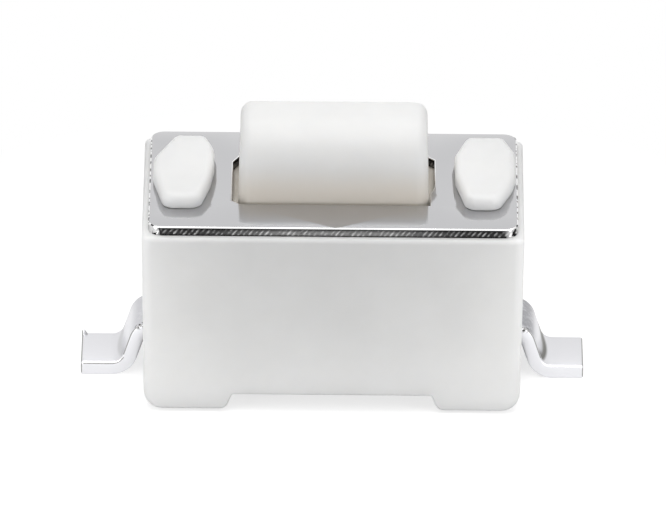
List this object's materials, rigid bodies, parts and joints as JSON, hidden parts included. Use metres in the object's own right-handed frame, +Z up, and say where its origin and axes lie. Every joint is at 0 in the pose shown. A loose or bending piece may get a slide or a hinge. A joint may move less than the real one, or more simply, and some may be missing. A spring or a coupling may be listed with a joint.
{
  "type": "tactile push button switch",
  "caption": "Surface-mount tactile push button switch: white moulded housing, polished cover plate held by staked posts, long rounded button, bent solder terminals.",
  "frame": {"origin": "on the board, in the plane of the terminals' undersides, under the middle of the housing", "axes": "+Z up out of the board, +X along the housing towards the right-hand terminal, +Y to the back"},
  "size_m": [0.008, 0.0036, 0.0045],
  "materials": {
    "housing_nylon": "fine moulded satin, slightly translucent white",
    "button_nylon": "smooth moulded satin, milky white",
    "cover_steel": "polished stainless sheet with sheared edges",
    "dome_steel": "rolled spring steel",
    "terminal_silver": "matt silver plate on brass sheet"
  },
  "bodies": {
    "base": {"housing": "housing_nylon", "cover": "cover_steel", "dome": "dome_steel", "left_terminal": "terminal_silver", "right_terminal": "terminal_silver"},
    "button": {"button": "button_nylon"}
  },
  "joints": [
    {"name": "button_press", "type": "slide", "parent": "base", "child": "button", "axis": [0, 0, -1], "range_m": [0, 0.00025], "stiffness_N_per_m": 2, "springref_m": -0.0005, "deforming": ["dome"]}
  ]
}
